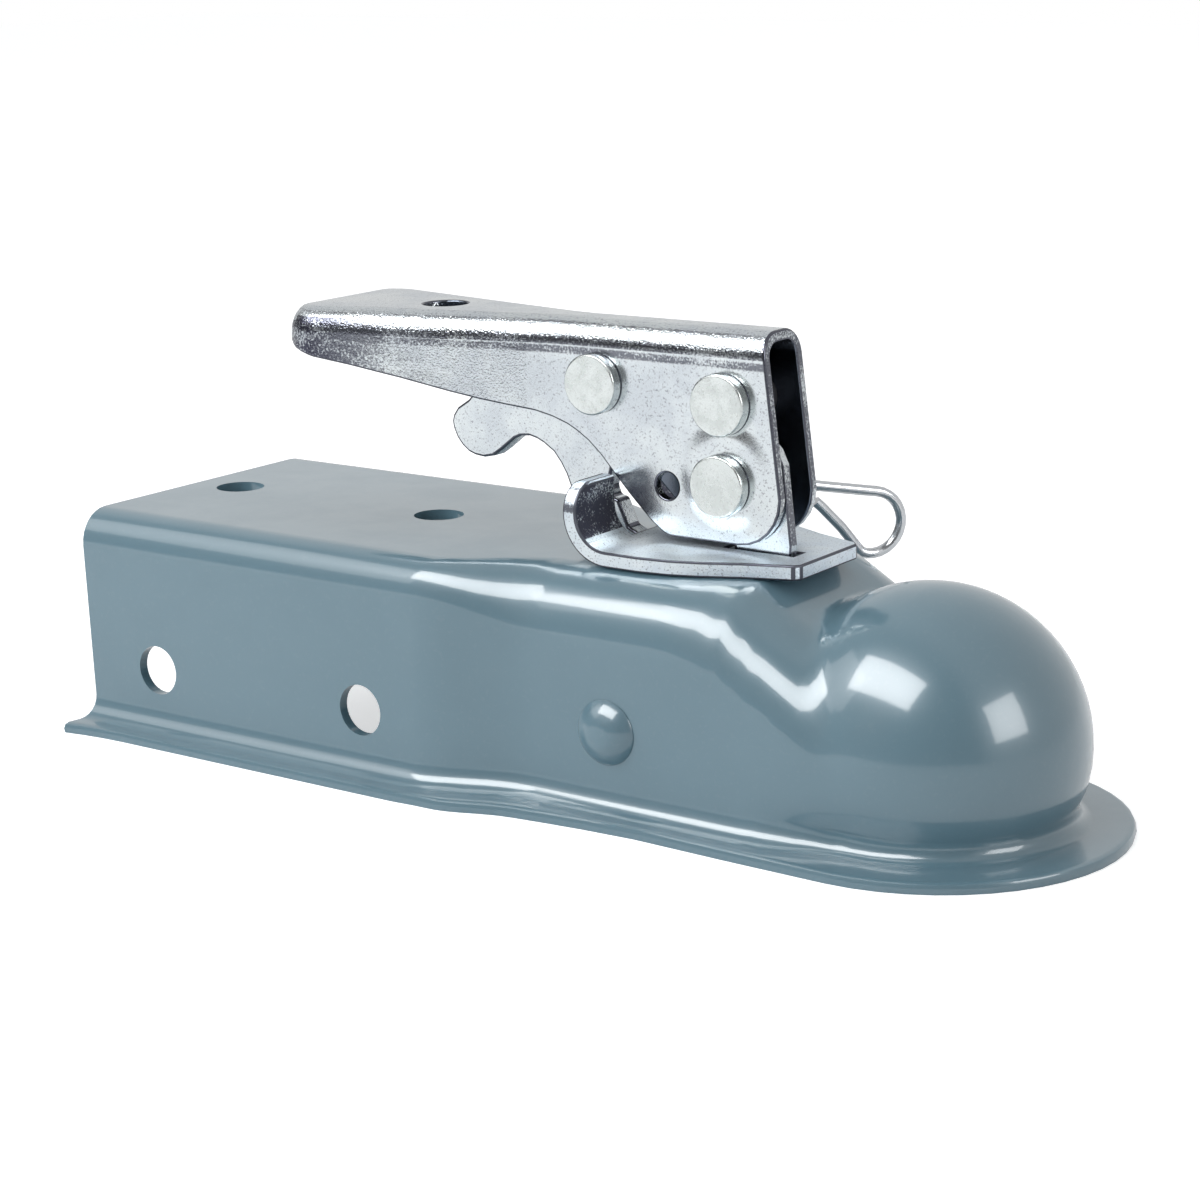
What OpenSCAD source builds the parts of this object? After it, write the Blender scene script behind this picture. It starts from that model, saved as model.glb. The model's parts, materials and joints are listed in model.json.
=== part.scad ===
// Straight-tongue ball coupler for a 50.8 mm ball, with a trigger latch.
// +X runs from the tongue end to the ball, +Z up, Y across. Z = 0 is the
// underside of the flange and X = 0 the middle of the pressed body.

/* [Pressed body] */
// Outside width of the tongue channel
channel_width = 68.3; // [60:0.1:80]
// Underside of the flange to the top of the channel
channel_height = 43; // [38:0.5:50]
// Sheet thickness
sheet = 2; // [1.5:0.1:4]
// Outside radius of the channel's top bends
channel_bend = 6.8; // [4:0.1:9]
// Outside width of the narrower neck
neck_width = 56.6; // [50:0.1:62]
// Outside radius of the neck's top bends
neck_bend = 12; // [8:0.5:14]
// How far the rear edge leans forward at its foot
rear_lean = 1.4; // [0:0.1:3]
// Concave radius between wall and flange
flange_fillet = 4.2; // [2:0.1:4.6]

/* [Ball socket] */
// Radius of the socket, a little over the ball's 25.4
socket_r = 25.9; // [25.5:0.05:26.5]
// Rear edge to the middle of the ball
ball_x = 169.7; // [160:0.1:180]
// Flange underside to the middle of the ball
ball_z = 15.15; // [13:0.05:18]
// Flange radius around the dome
flange_r = 35.5; // [33:0.1:40]

/* [Bolt holes] */
// Diameter of every tongue bolt hole
bolt_hole_d = 9.65; // [8:0.05:13]
// Top holes, from the rear edge
top_hole_x = [10.8, 62.4]; // [5:0.1:75]
// Side holes, from the rear edge
side_hole_x = [18.7, 70]; // [10:0.1:78]
// Height of the side holes
side_hole_z = 13.6; // [10:0.1:25]

/* [Latch] */
// Thickness of the latch's base plate
plate_t = 2.8; // [2:0.1:4]
// Half width of the base plate
plate_half = 19.3; // [15:0.1:24]
// Channel top to the top of the rear lip
lip_top = 14; // [10:0.5:17]
// Clearance beside the handle in the lip's slot
lip_slot = 0.5; // [0.3:0.1:2]
// Wall of the handle
handle_wall = 2; // [1.5:0.1:3]
// Channel top to the top of the handle at its front end
handle_top = 41.5; // [37:0.5:47]
// Fall of the handle's top per millimetre towards the grip
handle_slope = 0.005; // [0:0.001:0.02]
// Outside radius of the handle's top bends
handle_bend = 4.7; // [3.5:0.1:5.5]
// Half width of the handle ahead of the grip
handle_half = 6.3; // [5.5:0.1:8]
// Half width of the grip
grip_half = 17.3; // [12:0.1:20]
// Corner radius of the grip, seen from above
grip_corner = 8.5; // [6:0.5:10]
// Middle of the ball back to the rear end of the grip
grip_end = 132.2; // [127:0.5:138]
// Diameter of the hole in the top of the grip
grip_hole_d = 8.5; // [5:0.1:10]
// Middle of the ball back to the hole in the grip
grip_hole_x = 104; // [95:0.5:110]
// Lock hole through the handle's sides
lock_hole_d = 4.8; // [4:0.1:6.5]
// Thickness of the trigger
trigger_t = 4; // [3:0.1:5]
// Thickness of the strap
strap_t = 2.3; // [2:0.1:3]

/* [Rivets and pins] */
// Flat head diameter of the handle's rivets
rivet_head_d = 11; // [9:0.1:13]
// Flat head height
rivet_head_h = 2.5; // [1.5:0.1:3.5]
// Shank diameter of the handle's rivets
rivet_d = 6.4; // [5:0.1:8]
// Domed head diameter of the cross rivet
cross_head_d = 12; // [10:0.1:15]
// Shank diameter of the cross rivet
cross_d = 8; // [6:0.1:10]
// Running clearance of a shank in what turns on it
run = 0.05; // [0.02:0.01:0.1]
// Wire of the safety clip
clip_wire = 2; // [1.2:0.1:2.5]

/* [Hidden] */
$fn = 64;
body_length = ball_x + flange_r;
dome_r = socket_r + sheet;
// Outlines of the neck, clamp and latch are drawn at these places, and follow the sizes above.
drawn_ball = [169.7, 15.15];
drawn_tops = [43, 45.8, 84.5]; // channel, plate and handle
ahead = ball_x - drawn_ball[0];
cross_at = [ball_x - 48.5, ball_z + 0.95];
strap_pin_at = [ball_x - 32.3, ball_z + 4.85];
strap_rivet_at = drawn([131.7, 71.7]);
stop_rivet_at = drawn([131.5, 57.3]);
trigger_rivet_at = drawn([104.7, 73.1]);
lock_at = drawn([119.8, 55.9]);
inner_half = handle_half - handle_wall;
strap_y = 0.1 - inner_half + strap_t / 2;
jaw_half = 10;
paint = [0.46, 0.55, 0.58];
zinc = [0.82, 0.83, 0.84];
raw_steel = [0.45, 0.45, 0.46];
wire_steel = [0.75, 0.76, 0.78];

// ---------- shared shapes ----------

function mix(a, b, t) = a + (b - a) * t;
function clamp01(t) = max(0, min(1, t));
function smooth(t) = let (u = clamp01(t)) u * u * (3 - 2 * u);
function ease(x, x0, x1) = smooth((x - x0) / (x1 - x0));
function unit(v) = v / norm(v);
// Where a latch point [x, z] lies: it keeps its share of the plate below and of the handle above.
function up(z) = let (low = drawn_tops[0], mid = drawn_tops[1], high = drawn_tops[2]) channel_height +
    (z < low ? z - low : z < mid ? plate_t * (z - low) / (mid - low) : mix(plate_t, handle_top, (z - mid) / (high - mid)));
function drawn(p) = [p[0] + ahead, up(p[1])];
function outline(points) = [for (p = points) drawn(p)];
function clamp_outline(points) = [for (p = points) p + [ahead, ball_z - drawn_ball[1]]];
function arc(c, r, a0, a1, n) = [for (i = [0:n]) let (a = mix(a0, a1, i / n)) c + r * [cos(a), sin(a)]];

// Puts a shape drawn from the body's rear edge into the part's frame.
module place() translate([-body_length / 2, 0, 0]) children();

// A shape drawn as [x, z] and given a thickness across, centred on y.
module across(y, width) translate([0, y + width / 2, 0]) rotate([90, 0, 0]) linear_extrude(width) children();

// A shaft across the part at [x, z] between two y positions.
module shaft(at, r, y0, y1) translate([at[0], y0, at[1]]) rotate([-90, 0, 0]) cylinder(r = r, h = y1 - y0);

// Solid through a list of rings that have the same number of points.
module loft(rings) {
    n = len(rings[0]);
    m = len(rings);
    polyhedron(
        points = [for (ring = rings) each ring],
        faces = [
            [for (j = [0:n - 1]) j],
            [for (j = [0:n - 1]) m * n - 1 - j],
            for (i = [0:m - 2]) for (j = [0:n - 1])
                let (k = (j + 1) % n, a = i * n, b = a + n)
                each [[a + j, b + j, b + k], [a + j, b + k, a + k]]
        ],
        convexity = 8);
}

// Round wire along a path of 3-D points, with its sides set by one normal.
module wire(path, r, flat, sides = 12) {
    last = len(path) - 1;
    loft([for (i = [0:last])
        let (t = unit(path[min(i + 1, last)] - path[max(i - 1, 0)]),
             u = unit(flat - (flat * t) * t), v = cross(t, u))
        [for (j = [0:sides - 1]) path[i] + r * (cos(j * 360 / sides) * u - sin(j * 360 / sides) * v)]]);
}

// Rivet across the part, with a flat head on each side wall.
module flat_rivet(at, half) {
    translate([at[0], 0, at[1]]) rotate([-90, 0, 0]) rotate_extrude()
        polygon([[0, -half - rivet_head_h], [rivet_head_d / 2 - 0.4, -half - rivet_head_h], [rivet_head_d / 2, -half - rivet_head_h + 0.4],
            [rivet_head_d / 2, -half], [rivet_d / 2, -half], [rivet_d / 2, half], [rivet_head_d / 2, half],
            [rivet_head_d / 2, half + rivet_head_h - 0.4], [rivet_head_d / 2 - 0.4, half + rivet_head_h], [0, half + rivet_head_h]]);
}

// Tube between two y positions.
module sleeve(at, r_in, r_out, y0, y1) difference() {
    shaft(at, r_out, y0, y1);
    shaft(at, r_in, y0 - 1, y1 + 1);
}

// ---------- pressed body ----------

// Half width of the wall, top, bend radius and flange at a distance x.
// u is the distance back from the ball's middle.
function wall_half(x) = let (u = ball_x - x, w = mix(channel_width / 2, neck_width / 2, ease(-u, -87.7, -63.7)))
    u > 11.7 ? w : mix(w, w - 4.4, pow(1 - u / 11.7, 2));
function top_z(x) = let (d = 27.1 - (ball_x - x)) d < 0 ? channel_height : channel_height - 0.62 * d * d / (d + 1.2);
function bend_r(x) = let (u = ball_x - x) mix(mix(channel_bend, neck_bend, ease(-u, -85.7, -63.7)), 15, ease(-u, -38.7, -23.7));
// The flange stands this far out from the wall.
function rear_lip(x) = lookup(x, [[0, 1.4], [4, 0.7], [9, 0.2], [14, 0]]);
function overhang(x) = rear_lip(x) + lookup(x - ball_x, [[-84, 6.65], [-81, 7.4], [-77, 8.6], [-74, 8.9], [-70, 8.7], [-66, 8.35], [-62, 7.9], [-54, 7],
    [-45, 6.3], [-38, 6.1], [-29, 6.5], [-20, 6.8]]);
function flange_half(x) = let (u = ball_x - x) u > 20 ? wall_half(x) + overhang(x) : mix(flange_r, wall_half(ball_x - 20) + 6.8, u / 20);

// Distance from [0, ball_z] to a rounded rectangle in the direction a.
function box_polar(a, w, h, r) =
    let (c = [w - r, h - r], d = [cos(a), sin(a)], by_wall = w * tan(a), by_top = a > 1 ? h / tan(a) : 1e6)
    by_wall <= c[1] ? w / d[0] : by_top <= c[0] ? h / d[1] : let (p = c * d) p + sqrt(max(0, p * p - c * c + r * r));
function soft_max(a, b, k) = let (h = max(k - abs(a - b), 0)) max(a, b) + h * h / (4 * k);

upper_count = 18;
// Directions of the section's upper points, closer together in the bend.
function upper_angle(j, w, h, r) =
    let (a1 = atan2(h, w - r), a0 = atan2(h - r, w))
    j <= 6 ? mix(90, a1, j / 6) : j <= 14 ? mix(a1, a0, (j - 6) / 8) : mix(a0, 0, (j - 14) / (upper_count - 1 - 14));

// Half section [y, z] at x, from the top middle to the flange's edge.
// in = 0 gives the outer skin and in = 1 the inner one.
function section(x, in) =
    let (t = sheet * in,
         w = wall_half(x) - t, h = top_z(x) - t - ball_z, r = min(bend_r(x) - t, h - 0.3),
         ball = dome_r - t, b = abs(x - ball_x) < ball ? sqrt(ball * ball - (x - ball_x) * (x - ball_x)) : 0,
         even = ease(x - ball_x, -31.7, -5.7), under = ease(x - ball_x, -19.7, 0),
         waist = soft_max(w, b, 4), ring = waist - under * (2.3 - 0.3 * in), ff = mix(flange_fillet, 2.6, under),
         fy = waist + t - under * 2.3 + ff, fz = sheet + ff, fr = ff + t, f = flange_half(x))
    concat(
        [for (j = [0:upper_count - 1])
            let (a = mix(upper_angle(j, w, h, r), 90 - j * 90 / (upper_count - 1), even), d = soft_max(box_polar(a, w, h, r), b, 2.5))
            [j == 0 ? 0 : d * cos(a), ball_z + d * sin(a)]],
        [for (z = [mix(11.5, 12, under), 8.6]) [waist - under * (ball - sqrt(ball * ball - pow(ball_z - z, 2))), z]],
        [for (a = [0:6]) let (g = mix(180, 152, under) + a * (270 - mix(180, 152, under)) / 6) [fy + fr * cos(g), fz + fr * sin(g)]],
        in == 0 ? [[f - 1.2, sheet], [f - 0.35, sheet - 0.35], [f, sheet - 1.1]] : [[f - 1.6, 0], [f - 0.9, 0], [f - 0.2, 0]]);

body_x = concat([0, 4, 9, 14], [for (x = [82, 84.5, 87, 89.5, 92, 94.5, 97, 99.5, 102, 104, 106.5, 112, 120, 131, 135, 138.5, 141.5, 143.5, 145.5, 147.5, 149.5, 151.5, 153.5,
    155.5, 157.5, 159.5, 161.5, 163.5, 165.5, 167.6]) x + ahead], [ball_x]);
turn_steps = 12;
half_count = len(section(0, 0));
straight_count = len(body_x);
ring_count = straight_count + turn_steps;

// Point of the near (side = -1) or far (side = 1) half.
function body_point(side, in, s, p) = s < straight_count
    ? [body_x[s] + rear_lean * max(0, 1 - body_x[s] / 12) * (1 - p[1] / channel_height) * (1 - min(1, max(0, p[0] - channel_width / 2) / 8)), side * p[0], p[1]]
    : let (a = 90 - (s - straight_count + 1) * 90 / turn_steps) [ball_x + p[0] * cos(a), side * p[0] * sin(a), p[1]];
// Number of a point, where shared points keep one number.
function body_id(side, in, s, j) =
    let (one = j == 0 || s == ring_count - 1 ? 0 : side, ss = j == 0 ? min(s, straight_count - 1) : s)
    ((one * 2 + in) * ring_count + ss) * half_count + j;
function quad(a, b, c, d, flip) = flip ? [[a, c, b], [a, d, c]] : [[a, b, c], [a, c, d]];
function whole(tri) = tri[0] != tri[1] && tri[1] != tri[2] && tri[0] != tri[2];

module body_shell() {
    sections = [for (in = [0, 1]) [for (s = [0:ring_count - 1]) section(body_x[min(s, straight_count - 1)], in)]];
    polyhedron(
        points = [for (side = [0, 1]) for (in = [0, 1]) for (s = [0:ring_count - 1]) for (j = [0:half_count - 1])
            body_point(side * 2 - 1, in, s, sections[in][s][j])],
        faces = [
            for (side = [0, 1]) for (in = [0, 1]) for (s = [0:ring_count - 2]) for (j = [0:half_count - 2])
                for (f = quad(body_id(side, in, s, j), body_id(side, in, s + 1, j), body_id(side, in, s + 1, j + 1), body_id(side, in, s, j + 1), (side + in) % 2 == 1))
                    if (whole(f)) f,
            for (side = [0, 1]) for (s = [0:ring_count - 2]) let (e = half_count - 1)
                for (f = quad(body_id(side, 0, s, e), body_id(side, 0, s + 1, e), body_id(side, 1, s + 1, e), body_id(side, 1, s, e), side == 1))
                    if (whole(f)) f,
            for (side = [0, 1]) for (j = [0:half_count - 2])
                for (f = quad(body_id(side, 0, 0, j), body_id(side, 0, 0, j + 1), body_id(side, 1, 0, j + 1), body_id(side, 1, 0, j), side == 1))
                    if (whole(f)) f
        ],
        convexity = 10);
}

module coupler_body() color(paint) difference() {
    body_shell();
    for (x = top_hole_x) translate([x, 0, 20]) cylinder(d = bolt_hole_d, h = 40);
    for (x = side_hole_x) shaft([x, side_hole_z], bolt_hole_d / 2, -50, 50);
    shaft(cross_at, cross_d / 2, -40, 40);
    translate([130.5 + ahead, -6, channel_height - 9]) cube([15, 12, 20]);
}

module cross_rivet() color(paint) {
    cap = 3.2;
    half = neck_width / 2;
    cap_r = (cross_head_d * cross_head_d / 4 + cap * cap) / (2 * cap);
    arc = [for (i = [0:10]) let (y = cap * i / 10) [sqrt(max(0, cap_r * cap_r - pow(cap_r - cap + y, 2))), half + y]];
    translate([cross_at[0], 0, cross_at[1]]) rotate([-90, 0, 0]) rotate_extrude()
        polygon(concat([[0, -half - cap]], [for (i = [9:-1:0]) [arc[i][0], -arc[i][1]]], [[cross_d / 2, -half], [cross_d / 2, half]], [for (i = [0:9]) arc[i]], [[0, half + cap]]));
}

module clamp_spacer(side) color(raw_steel)
    sleeve(cross_at, cross_d / 2 + run, 6, side < 0 ? -neck_width / 2 + sheet : jaw_half + 0.3, side < 0 ? -jaw_half - 0.3 : neck_width / 2 - sheet);
module near_clamp_spacer() clamp_spacer(-1);
module far_clamp_spacer() clamp_spacer(1);

// Coil around the far spacer, with one leg over the clamp and one under the body's top.
module clamp_spring() color(wire_steel) {
    r = 7;
    steps = 44;
    y0 = jaw_half + 1.6;
    wire(concat(
        [[cross_at[0] + 16.8, y0 - 3.4, cross_at[1] + 13.3], [cross_at[0] + 15.3, y0 - 2, cross_at[1] + 13.1], [cross_at[0] + 12.8, y0, cross_at[1] + 12.5]],
        [for (i = [0:steps]) let (a = mix(111, 1080, i / steps)) [cross_at[0] + r * cos(a), y0 + i * 0.13, cross_at[1] + r * sin(a)]],
        [[cross_at[0] + r, y0 + 6.2, cross_at[1] + 9], [cross_at[0] + r - 0.4, y0 + 6.2, channel_height - sheet - 1]]), 0.75, [0.03, 1, 0.02], 8);
}

module ball_clamp() color(raw_steel) difference() {
    across(0, 2 * jaw_half) polygon(concat(
        arc(cross_at, 9, 110, 245, 18),
        clamp_outline([[130.5, 4.8], [137, 2.6], [143, 2.2], [148.4, 3.2], [150, 4.6], [150, 20], [147.6, 25.4], [141.5, 27.2], [134, 27.6], [125, 26.5]])));
    translate([ball_x, 0, ball_z]) sphere(r = socket_r, $fn = 96);
    shaft(cross_at, cross_d / 2 + run, -20, 20);
    for (dx = [-0.6, 0.6]) shaft(strap_pin_at + [dx, 0], 2.65, -20, 20);
    translate([strap_pin_at[0] - 0.6, -20, strap_pin_at[1] - 2.65]) cube([1.2, 40, 5.3]);
    translate([130.2 + ahead, strap_y - strap_t / 2 - 0.35, ball_z - 1.15]) cube([12.5, strap_t + 0.7, 20]);
}

// ---------- latch ----------

// Half plan of the base plate, from its middle to its edge.
plate_plan = [for (p = [[149.6, 0], [149.6, 9.4], [148.6, 10.6], [139.8, 13.7], [133.5, 16.7], [128, 18.5], [122, plate_half], [100, plate_half], [100, 0]]) p + [ahead, 0]];

module base_plate() color(zinc) {
    z0 = channel_height;
    bend = [115.1 + ahead, z0 + 9];
    rear = bend[0] - 9;
    tip = z0 + lip_top;
    corner = 5;
    difference() {
        intersection() {
            across(0, 60) polygon(concat(
                [[150 + ahead, z0], [150 + ahead, z0 + plate_t]],
                arc(bend, 9 - plate_t, 270, 180, 12),
                [[rear + plate_t, tip - 0.3], [rear + plate_t - 0.3, tip], [rear + 0.3, tip], [rear, tip - 0.3]],
                arc(bend, 9, 180, 270, 12)));
            translate([0, 0, z0 - 1]) linear_extrude(20) polygon(concat(plate_plan, [for (i = [len(plate_plan) - 1:-1:0]) [plate_plan[i][0], -plate_plan[i][1]]]));
        }
        across(0, 2 * (handle_half + lip_slot)) polygon(outline([[100, 43.97], [111.04, 43.97], [112.3, 46.5], [112.3, 70], [100, 70]]));
        translate([131 + ahead, strap_y - strap_t / 2 - 0.6, z0 - 5]) cube([14, strap_t + 1.2, 20]);
        for (side = [-1, 1]) translate([rear - 6, side * (plate_half - corner), tip - corner]) rotate([0, 90, 0]) difference() {
            translate([-corner - 1, side < 0 ? -corner - 1 : 0, 0]) cube([corner + 1, corner + 1, 12]);
            translate([0, 0, -1]) cylinder(r = corner, h = 14);
        }
    }
}

// Outline from the eye on the strap rivet, round the stop rivet, down to the clamp.
module strap() color(zinc) difference() {
    across(strap_y, strap_t) polygon(concat(
        arc(strap_rivet_at, 6.1, -30, 235, 32),
        outline([[132.6, 64.2], [135.1, 60.4], [135.1, 54.6], [132.6, 53.3], [132.8, 50]]),
        arc(strap_pin_at, 4.6, 180, 360, 20),
        outline([[142, 38], [143.8, 42], [144.2, 47.3], [142.6, 61.5], [141.4, 64], [139.2, 66.2]])));
    shaft(strap_rivet_at, rivet_d / 2 + run, -10, 10);
    shaft(strap_pin_at, 2.5, -10, 10);
}

module strap_pin() color(raw_steel) {
    translate([strap_pin_at[0], 0, strap_pin_at[1]]) rotate([-90, 0, 0]) rotate_extrude()
        polygon([[0, -12.2], [3.2, -12.2], [3.7, -11.7], [3.7, -jaw_half - 0.3], [2.5, -jaw_half - 0.3], [2.5, jaw_half + 0.3], [3.7, jaw_half + 0.3], [3.7, 11.7], [3.2, 12.2], [0, 12.2]]);
}

grip_x = ball_x - grip_end;
function handle_z(x) = channel_height + handle_top - handle_slope * (140 + ahead - x);
function handle_w(x) = mix(handle_half, grip_half, lookup(x - ahead, [[46, 1], [50, 0.94], [82, 0.265], [86, 0.185], [90, 0.105], [94, 0.045], [98.6, 0]]));
function drop(r, d) = d >= r ? 0 : r - sqrt(r * r - (r - d) * (r - d));
// Upright arch at x, from the far foot over the top to the near foot.
function arch(x, in) =
    let (t = handle_wall * in, d = x - grip_x - t, foot = up(40 - in),
         w = handle_w(x) - t - drop(grip_corner - t, d), z = handle_z(x) - t - drop(handle_bend - t, d), r = min(handle_bend - t, w - 0.1))
    concat([[x, w, foot]],
        [for (i = [0:7]) let (a = i * 90 / 7) [x, w - r + r * cos(a), z - r + r * sin(a)]],
        [for (i = [0:7]) let (a = 90 + i * 90 / 7) [x, -w + r + r * cos(a), z - r + r * sin(a)]],
        [[x, -w, foot]]);
grip_steps = [0, 0.25, 0.8, 1.6, 2.6, 3.6, 4.8, 6.6, 8.6];
handle_x = [for (x = [60, 71, 82, 86, 90, 94, 98.6]) x + ahead];

// Side view of the handle.
handle_side = concat(
    outline([[30, 95], [138.3, 95], [143.3, 55.9]]),
    arc(drawn([134.5, 55.6]), 8.8, 0, -90, 6),
    outline([[120.3, 46.8], [119.2, 47.1], [118.2, 47.7], [116, 49.3], [111.7, 53.4], [108.3, 56.9], [105.3, 60.1], [102.6, 62.4], [100.2, 63.9], [98, 65], [95, 66.1], [91.4, 67], [86, 67.7], [80.6, 68.5],
        [74.7, 69.6], [64.8, 71.7], [54.6, 73.6], [47, 74.8], [42, 76.1], [39, 77.4], [30, 79]]));

module handle() color(zinc) difference() {
    intersection() {
        across(0, 60) polygon(handle_side);
        difference() {
            loft([for (x = concat([for (d = grip_steps) grip_x + d], handle_x, [146 + ahead])) arch(x, 0)]);
            loft([for (x = concat([for (d = grip_steps) grip_x + handle_wall + d], handle_x, [147 + ahead])) arch(x, 1)]);
        }
    }
    for (at = [strap_rivet_at, stop_rivet_at, trigger_rivet_at]) shaft(at, rivet_d / 2 + run, -20, 20);
    shaft(lock_at, lock_hole_d / 2, -20, 20);
    translate([ball_x - grip_hole_x, 0, channel_height + handle_top - 10]) cylinder(d = grip_hole_d, h = 20);
}

module strap_rivet() color(zinc) flat_rivet(strap_rivet_at, handle_half);
module stop_rivet() color(zinc) flat_rivet(stop_rivet_at, handle_half);
module trigger_rivet() color(zinc) flat_rivet(trigger_rivet_at, handle_half);
module strap_spacer() color(raw_steel) sleeve(strap_rivet_at, rivet_d / 2 + run, 4.6, strap_y + strap_t / 2 + 0.15, inner_half);
module near_trigger_spacer() color(raw_steel) sleeve(trigger_rivet_at, rivet_d / 2 + run, 4.3, -inner_half, -trigger_t / 2 - 0.1);
module far_trigger_spacer() color(raw_steel) sleeve(trigger_rivet_at, rivet_d / 2 + run, 4, trigger_t / 2 + 0.1, inner_half);

module trigger() color(zinc) difference() {
    across(0, trigger_t) polygon(concat(
        arc(trigger_rivet_at, 6.3, -40, 90, 14),
        outline([[98.5, 78.2], [88, 74], [76, 70.6], [71.8, 66.5], [69.3, 64.9], [68.3, 63.5], [67.9, 62.2], [68.2, 60.8], [69, 59.1], [70.2, 57.7], [71.7, 56.6], [73.2, 56.1], [75.3, 55.9],
            [77.6, 56.4], [79.5, 57.7], [81.3, 59.1], [82.7, 60.2], [84.1, 60.8], [86, 61], [87.8, 60.6], [89.4, 59.9], [91.6, 58.5], [93.1, 56.7], [94.4, 54.6], [95.6, 51.7], [96.8, 48.6], [98.5, 46.4],
            [100, 45.1], [104, 44.4], [109.8, 44.3], [110.6, 44.6], [110.8, 45.2], [108.2, 46.3], [106, 51.1], [104.4, 51.5], [103.8, 53], [105, 58]])));
    shaft(trigger_rivet_at, rivet_d / 2 + run, -10, 10);
}

module trigger_spring() color(wire_steel) {
    r = 4.75;
    at = trigger_rivet_at;
    y0 = trigger_t / 2 + 0.65;
    y1 = inner_half - 0.65;
    wire(concat(
        [[at[0] + 9.5, y0, at[1] + 6.2], [at[0] + 4, y0, at[1] + 5.4]],
        [for (i = [0:16]) let (a = 98 + i * 22.5) [at[0] + r * cos(a), mix(y0, y1, i / 16), at[1] + r * sin(a)]],
        [[at[0] - 9, y1, at[1] + 3.5]]), 0.35, [0.02, 1, 0.03], 8);
}

// Hairpin: its straight leg goes through the far lock hole and hangs out and down.
module safety_clip() color(wire_steel) {
    turn = 36;
    out = [sin(turn), cos(turn), 0];
    loop = [33.4, -11.75];
    flat = concat([[-3.1, 0.55], [-1, 0.18], [1.2, -0.2], [22.6, -3.9], [30.8, -5.35]],
        [for (a = [82:-13:-100]) loop + 5.9 * [cos(a), sin(a)]],
        [[31.3, -17.15], [30.5, -16.3], [27.2, -12.1], [23.2, -7.9], [22, -6.8]]);
    wire([for (p = flat) [lock_at[0], handle_half - handle_wall / 2, lock_at[1]] + p[0] * out + [0, 0, p[1]]], clip_wire / 2, [-out[1], out[0], 0], 14);
}

place() coupler_body();
place() cross_rivet();
place() near_clamp_spacer();
place() far_clamp_spacer();
place() clamp_spring();
place() ball_clamp();
place() base_plate();
place() strap();
place() strap_pin();
place() handle();
place() strap_rivet();
place() strap_spacer();
place() stop_rivet();
place() trigger_rivet();
place() near_trigger_spacer();
place() far_trigger_spacer();
place() trigger();
place() trigger_spring();
place() safety_clip();
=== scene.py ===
import json
import math

import bmesh
import bpy
from mathutils import Matrix, Vector


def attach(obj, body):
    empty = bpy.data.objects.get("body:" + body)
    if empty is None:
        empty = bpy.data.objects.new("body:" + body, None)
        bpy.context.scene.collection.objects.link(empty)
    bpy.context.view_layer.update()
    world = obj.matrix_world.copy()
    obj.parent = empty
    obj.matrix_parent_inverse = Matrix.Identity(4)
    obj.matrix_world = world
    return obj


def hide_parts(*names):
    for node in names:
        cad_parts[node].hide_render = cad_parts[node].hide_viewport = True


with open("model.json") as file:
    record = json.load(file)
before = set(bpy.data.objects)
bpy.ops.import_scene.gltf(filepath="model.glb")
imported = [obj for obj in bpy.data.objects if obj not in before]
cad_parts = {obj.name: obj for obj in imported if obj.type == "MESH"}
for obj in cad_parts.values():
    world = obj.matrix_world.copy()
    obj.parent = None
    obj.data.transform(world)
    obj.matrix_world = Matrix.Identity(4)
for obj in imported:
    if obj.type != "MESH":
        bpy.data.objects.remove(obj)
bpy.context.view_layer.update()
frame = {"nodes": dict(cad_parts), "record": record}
nodes = frame["nodes"]
bodyOf = {}
for body, names in frame["record"]["behaviour"]["bodies"].items():
    bodyOf.update({name: body for name in names})
print("frame loaded:", len(nodes), "nodes")


def rgb(red, green, blue, alpha=1.0):
    # sRGB 0-255 to the linear colour that a shader wants
    def linear(v):
        v = v / 255
        return v / 12.92 if v <= 0.04045 else ((v + 0.055) / 1.055) ** 2.4
    return (linear(red), linear(green), linear(blue), alpha)


def addNode(tree, kind, place=(0, 0), **values):
    node = tree.nodes.new(kind)
    node.location = place
    for name, value in values.items():
        setattr(node, name, value)
    return node


def link(tree, source, target):
    tree.links.new(source, target)


def feed(tree, value, target):
    # numbers are typed into a socket, other sockets are linked to it
    if isinstance(value, (int, float)):
        target.default_value = value
    else:
        link(tree, value, target)


def mathNode(tree, operation, first, second=None, third=None, place=(0, 0)):
    node = addNode(tree, "ShaderNodeMath", place, operation=operation)
    for value, target in zip((first, second, third), node.inputs):
        if value is not None:
            feed(tree, value, target)
    return node.outputs[0]


def rangeNode(tree, value, fromMin, fromMax, toMin=0.0, toMax=1.0, place=(0, 0), smooth=False):
    node = addNode(tree, "ShaderNodeMapRange", place)
    node.interpolation_type = "SMOOTHSTEP" if smooth else "LINEAR"
    link(tree, value, node.inputs["Value"])
    ends = {"From Min": fromMin, "From Max": fromMax, "To Min": toMin, "To Max": toMax}
    for label, end in ends.items():
        feed(tree, end, node.inputs[label])
    return node.outputs["Result"]


def mixColour(tree, factor, first, second, place=(0, 0)):
    node = addNode(tree, "ShaderNodeMix", place, data_type="RGBA")
    colours = [socket for socket in node.inputs if socket.type == "RGBA"]
    link(tree, factor, node.inputs["Factor"])
    link(tree, first, colours[0])
    link(tree, second, colours[1])
    return next(socket for socket in node.outputs if socket.type == "RGBA")


def noise(tree, vector, scale, detail, roughness, place=(0, 0)):
    node = addNode(tree, "ShaderNodeTexNoise", place)
    link(tree, vector, node.inputs["Vector"])
    feed(tree, scale, node.inputs["Scale"])
    feed(tree, detail, node.inputs["Detail"])
    feed(tree, roughness, node.inputs["Roughness"])
    return node.outputs["Fac"]


def objectPlace(tree, place=(0, 0)):
    return addNode(tree, "ShaderNodeTexCoord", place).outputs["Object"]


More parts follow.
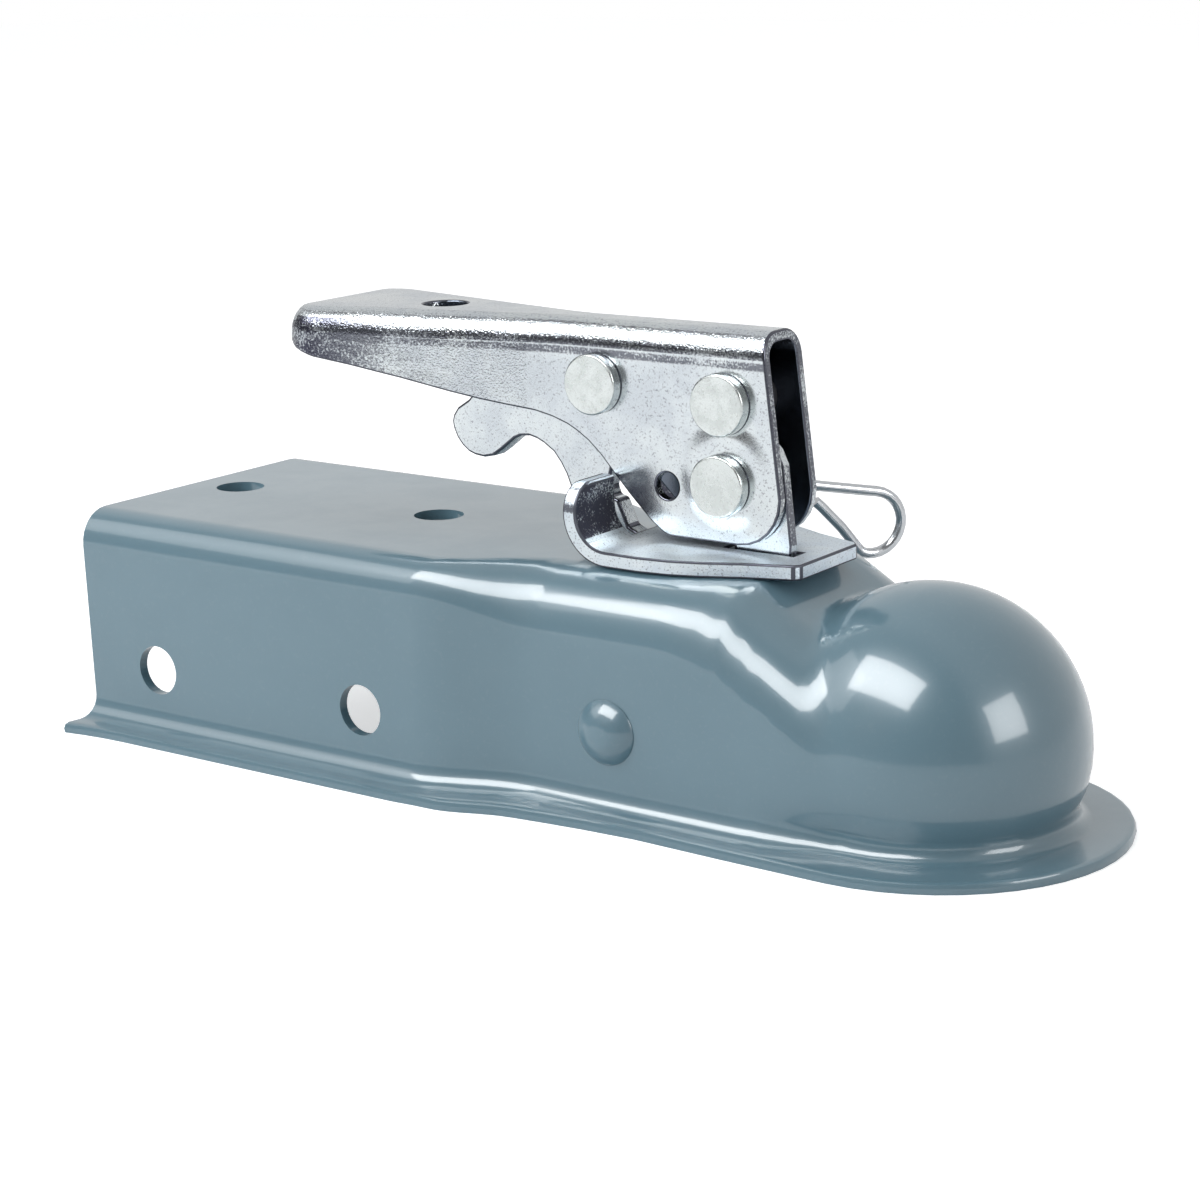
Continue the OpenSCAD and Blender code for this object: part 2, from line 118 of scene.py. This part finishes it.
def painted(tree, name, place=(0, 0)):
    # a mask that paintMasks writes on the mesh
    return addNode(tree, "ShaderNodeAttribute", place, attribute_name=name).outputs["Fac"]


def newGroup(name, inputs, outputs):
    # a float for each number and a colour for each tuple in inputs
    group = bpy.data.node_groups.new(name, "ShaderNodeTree")
    for label, value in inputs.items():
        kind = "NodeSocketColor" if isinstance(value, tuple) else "NodeSocketFloat"
        socket = group.interface.new_socket(name=label, in_out="INPUT", socket_type=kind)
        socket.default_value = value
    for label, kind in outputs.items():
        group.interface.new_socket(name=label, in_out="OUTPUT", socket_type=kind)
    start = addNode(group, "NodeGroupInput", (-1100, 0))
    end = addNode(group, "NodeGroupOutput", (900, 0))
    return group, start.outputs, end.inputs


def placeGroup(tree, group, values, place):
    node = addNode(tree, "ShaderNodeGroup", place, node_tree=group)
    for label, value in values.items():
        node.inputs[label].default_value = value
    return node


patchNoise = {"detail": 5, "roughness": 0.62, "none": 0.4, "full": 0.62}
grainNoise = {"detail": 2, "roughness": 0.5, "none": 0.58, "full": 0.7}


def makeMottle():
    # soft patches in a second colour, then sparse fine grains in a third
    group, given, out = newGroup("mottle", {
        "Base": (0.8, 0.8, 0.8, 1), "Patch": (0.6, 0.6, 0.6, 1), "Grain": (0.3, 0.3, 0.3, 1),
        "Patch Scale": 60.0, "Patch Amount": 0.5, "Grain Scale": 900.0, "Grain Amount": 0.3,
    }, {"Color": "NodeSocketColor", "Patches": "NodeSocketFloat"})
    place = objectPlace(group, (-1100, -350))

    def spots(kind, values, row):
        cloud = noise(group, place, given[kind + " Scale"], values["detail"], values["roughness"],
                      (-800, row))
        mask = rangeNode(group, cloud, values["none"], values["full"], place=(-500, row))
        share = mathNode(group, "MULTIPLY", mask, given[kind + " Amount"], place=(-250, row))
        return mask, share

    patches, patchShare = spots("Patch", patchNoise, 100)
    grainShare = spots("Grain", grainNoise, -250)[1]
    patched = mixColour(group, patchShare, given["Base"], given["Patch"], (100, 100))
    grained = mixColour(group, grainShare, patched, given["Grain"], (400, 50))
    link(group, grained, out["Color"])
    link(group, patches, out["Patches"])
    return group


waveNoise = {"detail": 2, "roughness": 0.5}
pitNoise = {"detail": 2, "roughness": 0.6}


def makeRipple():
    # long waves of a sprayed or plated skin with fine pits on them, as a height in millimetres
    group, given, out = newGroup("ripple", {
        "Wave Scale": 120.0, "Wave Height": 0.1, "Pit Scale": 1500.0, "Pit Height": 0.05,
    }, {"Height": "NodeSocketFloat"})
    place = objectPlace(group, (-1100, -350))
    wave = noise(group, place, given["Wave Scale"], waveNoise["detail"], waveNoise["roughness"],
                 (-800, 100))
    pit = noise(group, place, given["Pit Scale"], pitNoise["detail"], pitNoise["roughness"],
                (-800, -250))
    waves = mathNode(group, "MULTIPLY", wave, given["Wave Height"], place=(-400, 100))
    both = mathNode(group, "MULTIPLY_ADD", pit, given["Pit Height"], waves, place=(-100, 0))
    link(group, both, out["Height"])
    return group


blotches = {
    "drawn": (0.45, 1, 1.3),  # each blotch is drawn out along x
    "detail": 3, "roughness": 0.65,
    "speckDetail": 1, "speckRoughness": 0.5, "speckShare": 0.9,
    "maskShare": 0.42, "none": 1.08, "full": 1.34,
}


def makeReflectionBlotch():
    # dark blotches with hard edges: painted dark reflection, laid where the Mask is
    group, given, out = newGroup("reflectionBlotch", {
        "Color": (0.8, 0.8, 0.8, 1), "Dark": (0.1, 0.1, 0.12, 1),
        "Mask": 0.0, "Blotch Scale": 160.0, "Speck Scale": 1800.0,
    }, {"Color": "NodeSocketColor"})
    place = objectPlace(group, (-1100, -350))
    drawn = addNode(group, "ShaderNodeVectorMath", (-950, 250), operation="MULTIPLY")
    link(group, place, drawn.inputs[0])
    drawn.inputs[1].default_value = blotches["drawn"]
    blotch = noise(group, drawn.outputs["Vector"], given["Blotch Scale"],
                   blotches["detail"], blotches["roughness"], (-750, 100))
    speck = noise(group, place, given["Speck Scale"],
                  blotches["speckDetail"], blotches["speckRoughness"], (-750, -250))
    both = mathNode(group, "MULTIPLY_ADD", speck, blotches["speckShare"], blotch, place=(-500, 0))
    ready = mathNode(group, "MULTIPLY_ADD", given["Mask"], blotches["maskShare"], both,
                     place=(-300, 0))
    share = rangeNode(group, ready, blotches["none"], blotches["full"], place=(-100, 0))
    masked = mathNode(group, "MULTIPLY", share, given["Mask"], place=(100, -100))
    link(group, mixColour(group, masked, given["Color"], given["Dark"], (400, 50)), out["Color"])
    return group


bendNoise = {"detail": 1, "roughness": 0.5}


def makeBendPits():
    # plating stretched over a bend is rougher: the painted "bend" raises its pits
    group, given, out = newGroup("bendPits", {
        "Height": 0.0, "Scale": 2800.0, "Pit Height": 0.12,
    }, {"Height": "NodeSocketFloat"})
    coarse = noise(group, objectPlace(group, (-1100, -350)), given["Scale"],
                   bendNoise["detail"], bendNoise["roughness"], (-800, -200))
    extra = mathNode(group, "MULTIPLY", coarse, given["Pit Height"], place=(-500, -100))
    raised = mathNode(group, "MULTIPLY_ADD", extra, painted(group, "bend", (-800, 200)),
                      given["Height"], place=(-200, 0))
    link(group, raised, out["Height"])
    return group


def makeReflectionBand():
    # one band of painted dark reflection round a bend, picked by tilt: the painted "tilt" goes from
    # 0 on the upright side to 1 on the level top
    group, given, out = newGroup("reflectionBand", {
        "Mask": 0.0, "Start": 0.0, "Full": 0.1, "Fade": 0.5, "End": 0.6, "Most": 1.0,
    }, {"Mask": "NodeSocketFloat"})
    tilt = painted(group, "tilt", (-1100, 300))
    rise = rangeNode(group, tilt, given["Start"], given["Full"], place=(-700, 300))
    fall = rangeNode(group, tilt, given["Fade"], given["End"], given["Most"], 0, (-700, -100))
    inBand = mathNode(group, "MULTIPLY", rise, fall, place=(-300, 100))
    link(group, mathNode(group, "MAXIMUM", given["Mask"], inBand, place=(100, 0)), out["Mask"])
    return group


def makeShadeTint():
    # painted shade: rounded edges and the hollow inside of folded sheet are darkened
    group, given, out = newGroup("shadeTint", {
        "Color": (0.8, 0.8, 0.8, 1), "Edge Shade": (0.3, 0.3, 0.3, 1), "Inside": (0.3, 0.3, 0.3, 1),
    }, {"Color": "NodeSocketColor"})
    edged = mixColour(group, painted(group, "edge", (-800, 300)), given["Color"], given["Edge Shade"],
                      (-300, 100))
    tinted = mixColour(group, painted(group, "inside", (-400, -300)), edged, given["Inside"],
                       (200, 0))
    link(group, tinted, out["Color"])
    return group


mottle = makeMottle()
ripple = makeRipple()
reflectionBlotch = makeReflectionBlotch()
bendPits = makeBendPits()
reflectionBand = makeReflectionBand()
shadeTint = makeShadeTint()
print("shader groups made")


def creaseReflectionLine(tree, creaseReflection):
    # a rough painted dark reflection line along the side of a folded sheet, just under its bend
    level = addNode(tree, "ShaderNodeSeparateXYZ", (-1300, 1500))
    link(tree, objectPlace(tree, (-1500, 1500)), level.inputs[0])
    rise = rangeNode(tree, level.outputs["Z"], creaseReflection["low"], creaseReflection["low"] + creaseReflection["soft"],
                     place=(-1100, 1500))
    fall = rangeNode(tree, level.outputs["Z"], creaseReflection["high"] - creaseReflection["soft"], creaseReflection["high"],
                     creaseReflection["most"], 0, (-1100, 1700))
    return mathNode(tree, "MULTIPLY", rise, fall, place=(-900, 1500))


def pressedRing(tree, dimple):
    # sheet pressed out a little round one rivet: the height falls away from its middle
    flat = addNode(tree, "ShaderNodeVectorMath", (-900, -1200), operation="MULTIPLY")
    link(tree, objectPlace(tree, (-1100, -1200)), flat.inputs[0])
    flat.inputs[1].default_value = (1, 0, 1)
    reach = addNode(tree, "ShaderNodeVectorMath", (-700, -1200), operation="DISTANCE")
    link(tree, flat.outputs["Vector"], reach.inputs[0])
    middleX, middleZ = dimple["middle"]
    reach.inputs[1].default_value = (middleX, 0, middleZ)
    return rangeNode(tree, reach.outputs["Value"], dimple["inner"], dimple["outer"],
                     0, dimple["depth"], (-450, -1200), True)


def finish(name, look):
    # one material from a dictionary: mottled colour, roughness that follows the patches,
    # a rippled skin, rougher bends, and painted dark reflection and painted edge and hollow shade
    material = bpy.data.materials.new(name)
    material.use_nodes = True
    tree = material.node_tree
    shader = tree.nodes["Principled BSDF"]
    shader.location = (800, 0)
    tree.nodes["Material Output"].location = (1100, 0)
    coat = placeGroup(tree, mottle, look["mottle"], (-500, 250))
    skin = placeGroup(tree, ripple, look["ripple"], (-500, -350))
    rough = rangeNode(tree, coat.outputs["Patches"], 0, 1, *look["roughness"], place=(100, -50))
    colour, height = coat.outputs["Color"], skin.outputs["Height"]
    if "bend" in look:
        pits = placeGroup(tree, bendPits, look["bend"], (-150, -500))
        link(tree, height, pits.inputs["Height"])
        height = pits.outputs["Height"]
    # painted dark reflection: its mask, the tilt bands and the crease line darken the colour in
    # blotches
    if "darkReflection" in look:
        dark = painted(tree, "darkReflection", (-900, 600))
        for row, values in enumerate(look["reflectionBands"]):
            reflectionBandNode = placeGroup(tree, reflectionBand, values, (-700, 700 + 350 * row))
            link(tree, dark, reflectionBandNode.inputs["Mask"])
            dark = reflectionBandNode.outputs["Mask"]
        if "creaseReflection" in look:
            dark = mathNode(tree, "MAXIMUM", dark, creaseReflectionLine(tree, look["creaseReflection"]), place=(-300, 1400))
        blotched = placeGroup(tree, reflectionBlotch, look["darkReflection"], (100, 350))
        link(tree, colour, blotched.inputs["Color"])
        link(tree, dark, blotched.inputs["Mask"])
        colour = blotched.outputs["Color"]
    # painted shade on rounded edges and hollow faces
    if "shadeTint" in look:
        tint = placeGroup(tree, shadeTint, look["shadeTint"], (450, 450))
        link(tree, colour, tint.inputs["Color"])
        colour = tint.outputs["Color"]
    if "dimple" in look:
        height = mathNode(tree, "ADD", height, pressedRing(tree, look["dimple"]), place=(0, -700))
    bump = addNode(tree, "ShaderNodeBump", (450, -350))
    bump.inputs["Distance"].default_value = 0.001  # heights are in millimetres
    link(tree, height, bump.inputs["Height"])
    link(tree, colour, shader.inputs["Base Color"])
    link(tree, rough, shader.inputs["Roughness"])
    link(tree, bump.outputs["Normal"], shader.inputs["Normal"])
    for label, value in look["shader"].items():
        shader.inputs[label].default_value = value
    return material


bodyPaint = {
    "mottle": {
        "Base": rgb(100, 131, 145), "Patch": rgb(95, 126, 140), "Grain": rgb(150, 165, 172),
        "Patch Scale": 45, "Patch Amount": 0.5, "Grain Scale": 1100, "Grain Amount": 0.05},
    "ripple": {"Wave Scale": 90, "Wave Height": 0.03, "Pit Scale": 900, "Pit Height": 0.004},
    "roughness": (0.28, 0.34),  # between the patches, and on them
    "shader": {
        "Metallic": 0.0, "IOR": 1.5,
        "Coat Weight": 0.9, "Coat Roughness": 0.09, "Coat IOR": 1.55},
}
zincPlate = {
    "mottle": {
        "Base": rgb(214, 220, 222), "Patch": rgb(196, 203, 211), "Grain": rgb(112, 114, 126),
        "Patch Scale": 80, "Patch Amount": 0.6, "Grain Scale": 2600, "Grain Amount": 0.6},
    "ripple": {"Wave Scale": 220, "Wave Height": 0.02, "Pit Scale": 2400, "Pit Height": 0.012},
    "roughness": (0.17, 0.26),
    "bend": {"Scale": 2800, "Pit Height": 0.12},
    # the colour and blotches of the painted dark reflection
    "darkReflection": {"Dark": rgb(74, 75, 88), "Blotch Scale": 150, "Speck Scale": 2400},
    # the tilt ranges where painted dark reflection lies round the bends
    "reflectionBands": [
        {"Start": 0.0, "Full": 0.04, "Fade": 0.18, "End": 0.28, "Most": 0.85},
        {"Start": 0.54, "Full": 0.58, "Fade": 0.62, "End": 0.68, "Most": 0.6}],
    # painted shade: the colours of rounded edges and hollow faces
    "shadeTint": {"Edge Shade": rgb(92, 94, 103), "Inside": rgb(104, 111, 122)},
    "shader": {"Metallic": 1.0},
}
# the base plate is duller and a little bluer
plateZinc = dict(
    zincPlate, roughness=(0.42, 0.5),
    mottle=dict(zincPlate["mottle"], Base=rgb(228, 236, 240), Patch=rgb(206, 218, 230)))
# lengths here are in metres, the dimple's depth in millimetres
handleZinc = dict(
    zincPlate,
    dimple={"middle": (0.0296, 0.0589), "inner": 0.0064, "outer": 0.0102, "depth": -0.4},
    # the heights of the painted dark reflection line just under the handle's bend
    creaseReflection={"low": 0.0777, "high": 0.0796, "soft": 0.0004, "most": 0.8})
rivetZinc = {
    "mottle": {
        "Base": rgb(216, 221, 220), "Patch": rgb(204, 210, 208), "Grain": rgb(150, 152, 150),
        "Patch Scale": 300, "Patch Amount": 0.5, "Grain Scale": 1900, "Grain Amount": 0.25},
    "ripple": {"Wave Scale": 420, "Wave Height": 0.04, "Pit Scale": 2600, "Pit Height": 0.02},
    "roughness": (0.2, 0.3),
    # painted shade on the rivets' rounded edges and hollow faces
    "shadeTint": {"Edge Shade": rgb(90, 92, 99), "Inside": rgb(60, 62, 68)},
    "shader": {"Metallic": 1.0},
}
darkSteel = {
    "mottle": {
        "Base": rgb(96, 97, 100), "Patch": rgb(74, 74, 78), "Grain": rgb(140, 140, 142),
        "Patch Scale": 150, "Patch Amount": 0.7, "Grain Scale": 1500, "Grain Amount": 0.2},
    "ripple": {"Wave Scale": 300, "Wave Height": 0.12, "Pit Scale": 1600, "Pit Height": 0.1},
    "roughness": (0.4, 0.6),
    "shader": {"Metallic": 0.8},
}
clipSteel = {
    "mottle": {
        "Base": rgb(206, 209, 212), "Patch": rgb(180, 184, 190), "Grain": rgb(120, 122, 126),
        "Patch Scale": 200, "Patch Amount": 0.5, "Grain Scale": 1500, "Grain Amount": 0.12},
    "ripple": {"Wave Scale": 300, "Wave Height": 0.02, "Pit Scale": 2400, "Pit Height": 0.01},
    "roughness": (0.14, 0.24),
    "shader": {"Metallic": 1.0},
}
materials = {
    "paint": finish("bodyPaint", bodyPaint),
    "zinc": finish("zincPlate", zincPlate),
    "handle": finish("handleZinc", handleZinc),
    "plate": finish("plateZinc", plateZinc),
    "rivet": finish("rivetZinc", rivetZinc),
    "dark": finish("darkSteel", darkSteel),
    "clip": finish("clipSteel", clipSteel),
}
print("materials made:", len(materials))


# edge is the rounding of sharp edges in metres, smooth the angle in degrees below which
# faces shade as one, and clamped keeps the rounding off faces that are too narrow for it
pieces = {
    "coupler_body": {"material": "paint", "edge": 0.00035, "smooth": 40, "slot": "body_paint",
                     "clamped": True},
    "cross_rivet": {"material": "paint", "edge": 0.0002, "smooth": 40, "slot": "body_paint"},
    "near_clamp_spacer": {"material": "dark", "edge": 0.0004, "smooth": 30, "slot": "dark_steel"},
    "far_clamp_spacer": {"material": "dark", "edge": 0.0004, "smooth": 30, "slot": "dark_steel"},
    "clamp_spring": {"material": "clip", "edge": 0, "smooth": 60, "slot": "spring_wire"},
    "ball_clamp": {"material": "dark", "edge": 0.0006, "smooth": 30, "slot": "dark_steel"},
    "base_plate": {"material": "plate", "edge": 0.0004, "smooth": 30, "slot": "zinc_plate"},
    "strap": {"material": "zinc", "edge": 0.0003, "smooth": 30, "slot": "zinc_plate"},
    "strap_pin": {"material": "dark", "edge": 0.0002, "smooth": 30, "slot": "dark_steel"},
    "handle": {"material": "handle", "edge": 0.0004, "smooth": 35, "slot": "zinc_plate"},
    "strap_rivet": {"material": "rivet", "edge": 0.0003, "smooth": 50, "slot": "zinc_plate"},
    "strap_spacer": {"material": "dark", "edge": 0.0002, "smooth": 30, "slot": "dark_steel"},
    "stop_rivet": {"material": "rivet", "edge": 0.0003, "smooth": 50, "slot": "zinc_plate"},
    "trigger_rivet": {"material": "rivet", "edge": 0.0003, "smooth": 50, "slot": "zinc_plate"},
    "near_trigger_spacer": {"material": "dark", "edge": 0.0002, "smooth": 30, "slot": "dark_steel"},
    "far_trigger_spacer": {"material": "dark", "edge": 0.0002, "smooth": 30, "slot": "dark_steel"},
    "trigger": {"material": "zinc", "edge": 0.0005, "smooth": 30, "slot": "zinc_plate"},
    "trigger_spring": {"material": "clip", "edge": 0, "smooth": 60, "slot": "spring_wire"},
    "safety_clip": {"material": "clip", "edge": 0, "smooth": 60, "slot": "clip_wire"},
}

# where painted dark reflection goes on the zinc: the grip's sides (axis 1), and the lip's face
# towards the handle (axis 0). The painted dark reflection grows from one x to the other.
darkReflectionSpots = {
    "handle": {"from": -0.02, "to": -0.056, "axis": 1, "facing": 0.75},
    "base_plate": {"from": 0.012, "to": 0.009, "axis": 0, "facing": 0.75},
}
frontRim = {"handle": {"facing": 0.8, "darkReflection": 0.6}}  # the folded sheet's edge at the front, painted darker as a dark reflection
# which faces of the handle get painted shade as hollow
hollows = {"handle": {"sideFacing": 0.5, "roofFacing": 0.8, "roofAbove": 0.078}}
bends = {
    "endFacing": 0.5,  # a face that looks this much along x is an end, not a bend
    "leanStart": 0.1, "leanFull": 0.3,  # how far a face leans before it counts as bent
    "upright": 0.02, "level": 0.98,  # only between these is the tilt averaged round a corner
}


def smoothStep(value, low, high):
    t = max(0.0, min(1.0, (value - low) / (high - low)))
    return t * t * (3 - 2 * t)


def tiltOf(normal):
    # 0 on an upright face, 1 on one that looks up
    return math.asin(max(-1, min(1, normal.z))) / (math.pi / 2)


def isHollow(face, hollow):
    # the faces that look at the folded sheet's own middle
    normal, middle = face.normal, face.center
    inward = normal.y * middle.y < -hollow["sideFacing"] * abs(middle.y)
    roof = normal.z < -hollow["roofFacing"] and middle.z > hollow["roofAbove"]
    return inward or roof


def paintMasks(mesh, nodeName, rounded):
    # "bend" is 1 where a face leans between two axes, the painted dark reflection mask grows along
    # x over the spots listed for it, "edge" is 1 on rounded edges and "inside" on hollow faces
    # (both get painted shade), and "tilt" runs from 0 on upright faces to 1 on level ones, smoothly
    # round a bend
    masks = {"bend": "CORNER", "darkReflection": "CORNER", "tilt": "CORNER",
             "edge": "FACE", "inside": "FACE"}
    for name, domain in masks.items():
        mesh.attributes.new(name, "FLOAT", domain)
    bend, darkReflection, tilt, edge, inside = (mesh.attributes[name].data for name in masks)
    spot, rim, hollow = darkReflectionSpots.get(nodeName), frontRim.get(nodeName), hollows.get(nodeName)
    tilts = {}
    for face in mesh.polygons:
        if abs(face.normal.x) < bends["endFacing"] and face.index not in rounded:
            for vertex in face.vertices:
                tilts.setdefault(vertex, []).append(tiltOf(face.normal))
    for face in mesh.polygons:
        normal = face.normal
        onEdge = face.index in rounded
        edge[face.index].value = 1.0 if onEdge else 0.0
        inside[face.index].value = 1.0 if hollow and isHollow(face, hollow) else 0.0
        lean = sorted(abs(v) for v in normal)[1]
        bent = 0.0 if onEdge else smoothStep(lean, bends["leanStart"], bends["leanFull"])
        own = max(0.0, tiltOf(normal))
        for corner in face.loop_indices:
            vertex = mesh.loops[corner].vertex_index
            bend[corner].value = bent
            tilt[corner].value = own
            around = tilts.get(vertex)
            if around and bends["upright"] < own < bends["level"]:
                tilt[corner].value = max(0.0, sum(around) / len(around))
            # painted dark reflection on faces looking along the spot's axis, and on the front rim
            if spot and abs(normal[spot["axis"]]) > spot["facing"]:
                x = mesh.vertices[vertex].co.x
                darkReflection[corner].value = smoothStep(-x, -spot["from"], -spot["to"])
            if rim and normal.x > rim["facing"]:
                darkReflection[corner].value = rim["darkReflection"]


rounding = {"weld": 1e-6, "flatAngle": 0.6, "segments": 2, "profile": 0.5}  # metres, degrees


def roundedCopy(nodeName, values):
    # the node's shape with its flat triangles joined and its sharp edges rounded
    source = nodes[nodeName]
    smoothAngle = math.radians(values["smooth"])
    shape = bmesh.new()
    shape.from_mesh(source.data)
    shape.transform(source.matrix_world)
    bmesh.ops.remove_doubles(shape, verts=shape.verts, dist=rounding["weld"])
    bmesh.ops.dissolve_limit(
        shape, angle_limit=math.radians(rounding["flatAngle"]),
        verts=shape.verts, edges=shape.edges, delimit=set())
    shape.normal_update()
    rounded = []
    sharp = [e for e in shape.edges
             if len(e.link_faces) == 2 and e.calc_face_angle(0) > smoothAngle]
    if values["edge"] and sharp:
        rounded = bmesh.ops.bevel(
            shape, geom=sharp, offset=values["edge"], offset_type="OFFSET",
            segments=rounding["segments"], profile=rounding["profile"], affect="EDGES",
            clamp_overlap=values.get("clamped", False))["faces"]
    shape.faces.index_update()
    rounded = {face.index for face in rounded if face.is_valid}
    mesh = bpy.data.meshes.new(nodeName + "Look")
    shape.to_mesh(mesh)
    shape.free()
    mesh.shade_smooth()
    mesh.set_sharp_from_angle(angle=smoothAngle)
    mesh.materials.append(materials[values["material"]])
    paintMasks(mesh, nodeName, rounded)
    piece = bpy.data.objects.new(nodeName + "Look", mesh)
    bpy.context.scene.collection.objects.link(piece)
    weighted = piece.modifiers.new("weightedNormals", "WEIGHTED_NORMAL")
    weighted.keep_sharp = True
    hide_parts(nodeName)
    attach(piece, bodyOf[nodeName])
    return piece


looks = {name: roundedCopy(name, values) for name, values in pieces.items()}
faceCount = sum(len(piece.data.polygons) for piece in looks.values())
print("pieces made:", len(looks), "faces:", faceCount)


floorLook = {
    "size": 6.0, "colour": rgb(228, 229, 230), "roughness": 0.9, "specular": 0.1,
    "glow": (1, 1, 1, 1), "lift": 0.6, "gloss": 0.3,  # glow to the camera, and in reflections
}


def makeFloor():
    half = floorLook["size"] / 2
    corners = [(-half, -half, 0), (half, -half, 0), (half, half, 0), (-half, half, 0)]
    mesh = bpy.data.meshes.new("floor")
    mesh.from_pydata(corners, [], [(0, 1, 2, 3)])
    floor = bpy.data.objects.new("floor", mesh)
    bpy.context.scene.collection.objects.link(floor)
    material = bpy.data.materials.new("floorPaint")
    material.use_nodes = True
    tree = material.node_tree
    shader = tree.nodes["Principled BSDF"]
    shader.inputs["Base Color"].default_value = floorLook["colour"]
    shader.inputs["Roughness"].default_value = floorLook["roughness"]
    shader.inputs["Specular IOR Level"].default_value = floorLook["specular"]
    shader.inputs["Emission Color"].default_value = floorLook["glow"]
    path = addNode(tree, "ShaderNodeLightPath", (-900, -200)).outputs
    seen = mathNode(tree, "MULTIPLY", path["Is Camera Ray"], floorLook["lift"],
                    place=(-600, -100))
    mirrored = mathNode(tree, "MULTIPLY", path["Is Glossy Ray"], floorLook["gloss"],
                        place=(-600, -300))
    glow = mathNode(tree, "MAXIMUM", seen, mirrored, place=(-300, -200))
    link(tree, glow, shader.inputs["Emission Strength"])
    mesh.materials.append(material)


# the camera sees white, matt surfaces an even light, and gloss a room that is brighter at
# its back than at its front, which lies in the direction front
room = {
    "colour": (1, 1, 1, 1), "camera": 1.0, "matt": 0.5, "glossBack": 0.75, "glossFront": 0.22,
    "front": (-0.3, -0.95, 0), "fadeStart": -0.1, "fadeEnd": 0.25,
}


def makeWorld():
    world = bpy.data.worlds.new("studioWorld")
    bpy.context.scene.world = world
    world.use_nodes = True
    tree = world.node_tree
    back = tree.nodes["Background"]
    back.inputs["Color"].default_value = room["colour"]
    path = addNode(tree, "ShaderNodeLightPath", (-900, 0)).outputs
    toward = addNode(tree, "ShaderNodeVectorMath", (-900, -400), operation="DOT_PRODUCT")
    direction = addNode(tree, "ShaderNodeTexCoord", (-1100, -400)).outputs["Generated"]
    link(tree, direction, toward.inputs[0])
    toward.inputs[1].default_value = room["front"]
    gloss = rangeNode(tree, toward.outputs["Value"], room["fadeStart"], room["fadeEnd"],
                      room["glossBack"], room["glossFront"], (-700, -400), True)
    shown = mathNode(tree, "MAXIMUM", path["Is Glossy Ray"], path["Is Transmission Ray"],
                     place=(-700, -150))
    reflected = rangeNode(tree, shown, 0, 1, room["matt"], gloss, (-450, -200))
    level = rangeNode(tree, path["Is Camera Ray"], 0, 1, reflected, room["camera"], (-200, 0))
    link(tree, level, back.inputs["Strength"])


lampAim = (0.02, 0, 0.04)
lamps = {
    "keySoftbox": {"place": (-0.2, -0.66, 0.92), "size": (1.05, 0.5), "watts": 15.0,
                   "matt": False, "gloss": True},
    "rightWindow": {"place": (0.98, -0.02, 0.42), "size": (0.48, 0.44), "watts": 3.4,
                    "matt": False, "gloss": True},
    "leftCard": {"place": (-0.735, -0.46, 0.68), "size": (0.65, 0.5), "watts": 1.6,
                 "matt": True, "gloss": True},
    "leftFill": {"place": (-0.4, -0.85, 0.6), "size": (0.9, 0.9), "watts": 5.5,
                 "matt": True, "gloss": False},
    "overhead": {"place": (-0.1, 0.1, 1.3), "size": (1.2, 1.2), "watts": 2.5,
                 "matt": True, "gloss": False},
}


def makeLamps():
    # matt and gloss say whether a lamp lights matt surfaces and shows in glossy ones
    for name, values in lamps.items():
        lamp = bpy.data.lights.new(name, "AREA")
        lamp.shape = "RECTANGLE"
        lamp.size, lamp.size_y = values["size"]
        lamp.energy = values["watts"]
        holder = bpy.data.objects.new(name, lamp)
        holder.location = values["place"]
        toAim = Vector(lampAim) - Vector(values["place"])
        holder.rotation_euler = toAim.to_track_quat("-Z", "Y").to_euler()
        holder.visible_camera = False
        holder.visible_diffuse = values["matt"]
        holder.visible_glossy = values["gloss"]
        bpy.context.scene.collection.objects.link(holder)


# the photograph's viewpoint, in metres, from the middle of the body at the flange
camera = {
    "place": (0.28263, -0.39733, 0.15479),
    "right": (0.815, 0.579191, -0.017704),
    "up": (-0.126869, 0.208166, 0.969831),
    "back": (0.565402, -0.788166, 0.243136),
    "lens": 81.517, "sensor": 36.0,  # millimetres
    "nearest": 0.01, "farthest": 30,
}


def makeCamera():
    data = bpy.data.cameras.new("photoCamera")
    data.sensor_fit = "HORIZONTAL"
    data.sensor_width = camera["sensor"]
    data.lens = camera["lens"]
    data.clip_start = camera["nearest"]
    data.clip_end = camera["farthest"]
    holder = bpy.data.objects.new("photoCamera", data)
    turn = Matrix((camera["right"], camera["up"], camera["back"])).transposed()
    holder.matrix_world = Matrix.Translation(camera["place"]) @ turn.to_4x4()
    bpy.context.scene.collection.objects.link(holder)
    bpy.context.scene.camera = holder


makeFloor()
makeWorld()
makeLamps()
makeCamera()
bpy.context.scene.view_settings.view_transform = "Standard"
print("floor, world, lamps and camera made")
